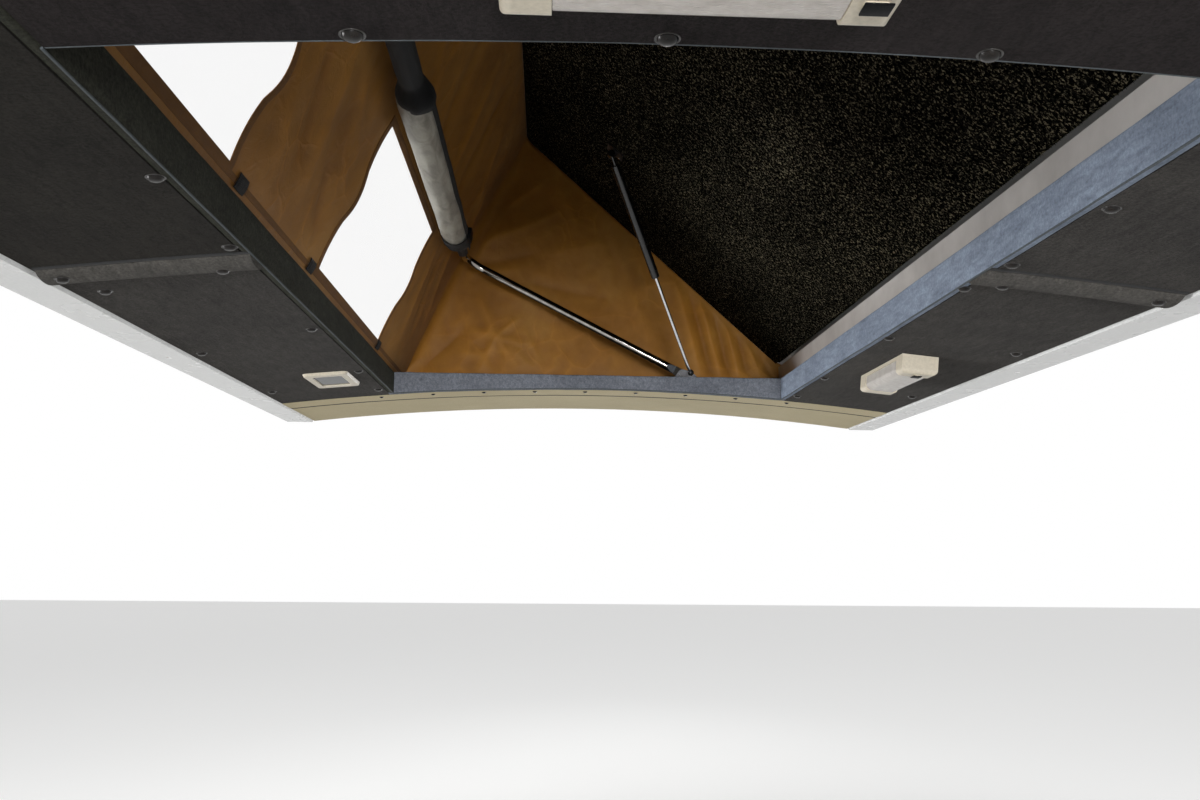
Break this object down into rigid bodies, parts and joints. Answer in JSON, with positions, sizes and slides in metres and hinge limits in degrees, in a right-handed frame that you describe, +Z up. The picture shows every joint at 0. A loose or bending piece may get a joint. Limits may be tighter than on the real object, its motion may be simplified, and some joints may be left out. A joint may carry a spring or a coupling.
{
  "type": "elevating roof of a camper van",
  "caption": "Side-hinged elevating roof of a camper van: lined ceiling opening, carpeted lid raised over canvas walls with windows, a folding hoop with blind rolls, and gas struts.",
  "frame": {"origin": "middle of the four corner holes in the bolting flanges, at the flanges' underside", "axes": "+X across the van to the lid's hinge side, +Y forward to the cab, +Z up"},
  "size_m": [1.6, 2.86, 0.8996],
  "materials": {
    "roof_paint": "gloss paint",
    "bow_metal": "galvanised",
    "mould": "gel-coated laminate",
    "rim_cloth": "padded cloth lining",
    "ceiling_cloth": "cloth-covered panel",
    "headliner": "beige cloth headliner",
    "header_cloth": "cloth-covered board",
    "strip_cloth": "cloth-covered strip",
    "lamp_plastic": "satin moulding",
    "clear_lens": "ribbed clear diffuser",
    "dark_glass": "dark tinted glass",
    "hinge_steel": "satin",
    "bracket_steel": "zinc plated",
    "clamp_metal": "mill finish",
    "seal_rubber": "matt",
    "canvas_cloth": "coated tan cloth",
    "window_film": "clear film",
    "carpet": "short needled carpet",
    "bright_tube": "bright plated",
    "black_cloth": "black webbing cloth",
    "silver_cloth": "silver-grey coated cloth",
    "strut_black": "gloss black",
    "bright_rod": "polished"
  },
  "bodies": {
    "roof": {"roof_skin": "roof_paint", "bow_front": "bow_metal", "bow_rear": "bow_metal", "base_frame": "mould", "rim_left": "rim_cloth", "rim_right": "rim_cloth", "rim_front": "rim_cloth", "rim_rear": "rim_cloth", "ceiling_left_front": "ceiling_cloth", "ceiling_left_rear": "ceiling_cloth", "ceiling_right_front": "ceiling_cloth", "ceiling_right_rear": "ceiling_cloth", "ceiling_front": "headliner", "ceiling_rear": "header_cloth", "strip_left": "strip_cloth", "strip_right": "strip_cloth", "strip_front": "strip_cloth", "spot_lamp": "lamp_plastic", "spot_lamp_glass": "dark_glass", "side_lamp": "lamp_plastic", "side_lamp_lens": "clear_lens", "rear_lamp": "lamp_plastic", "rear_lamp_lens": "clear_lens", "hinge_base": "hinge_steel", "canvas_clamp": "clamp_metal", "brackets": "bracket_steel", "kerb_seal": "seal_rubber", "canvas": "canvas_cloth", "canvas_windows": "window_film"},
    "lid": {"lid_shell": "mould", "lid_board": "carpet", "lid_seal": "seal_rubber", "hinge_lid": "hinge_steel", "strut_mounts": "bracket_steel"},
    "hoop": {"hoop_tube": "bright_tube", "hoop_sleeve": "black_cloth", "blind_rolls": "silver_cloth", "hoop_boots": "black_cloth"},
    "front_cylinder": {"strut_cylinder_front": "strut_black"},
    "front_rod": {"strut_rod_front": "bright_rod"},
    "rear_cylinder": {"strut_cylinder_rear": "strut_black"},
    "rear_rod": {"strut_rod_rear": "bright_rod"}
  },
  "joints": [
    {"name": "lid_hinge", "type": "hinge", "parent": "roof", "child": "lid", "pos_m": [0.55, 0, 0.13], "axis": [0, 1, 0], "range_deg": [-42, 0], "deforming": ["canvas", "canvas_windows"]},
    {"name": "hoop_pivot", "type": "hinge", "parent": "roof", "child": "hoop", "pos_m": [0.23, 0, 0.096], "axis": [0, 1, 0], "range_deg": [-27.2, 0]},
    {"name": "front_strut_swing", "type": "hinge", "parent": "lid", "child": "front_cylinder", "pos_m": [0.03596, 0.835, 0.54844], "axis": [0.6102, -0.7762, -0.1587], "range_deg": [0, 21.1]},
    {"name": "front_strut_slide", "type": "slide", "parent": "front_cylinder", "child": "front_rod", "axis": [0.3767, 0.4605, -0.8038], "range_m": [-0.1195, 0]},
    {"name": "rear_strut_swing", "type": "hinge", "parent": "lid", "child": "rear_cylinder", "pos_m": [0.03596, -0.835, 0.54844], "axis": [-0.6102, -0.7762, 0.1587], "range_deg": [0, 21.1]},
    {"name": "rear_strut_slide", "type": "slide", "parent": "rear_cylinder", "child": "rear_rod", "axis": [0.3767, -0.4605, -0.8038], "range_m": [-0.1195, 0]}
  ],
  "couplings": [
    {"joint": "hoop_pivot", "follows": "lid_hinge", "ratio": 0.6476},
    {"joint": "front_strut_swing", "follows": "lid_hinge", "ratio": -0.50035},
    {"joint": "front_strut_slide", "follows": "lid_hinge", "m_per_rad": 0.16273},
    {"joint": "rear_strut_swing", "follows": "lid_hinge", "ratio": -0.50035},
    {"joint": "rear_strut_slide", "follows": "lid_hinge", "m_per_rad": 0.16273}
  ]
}
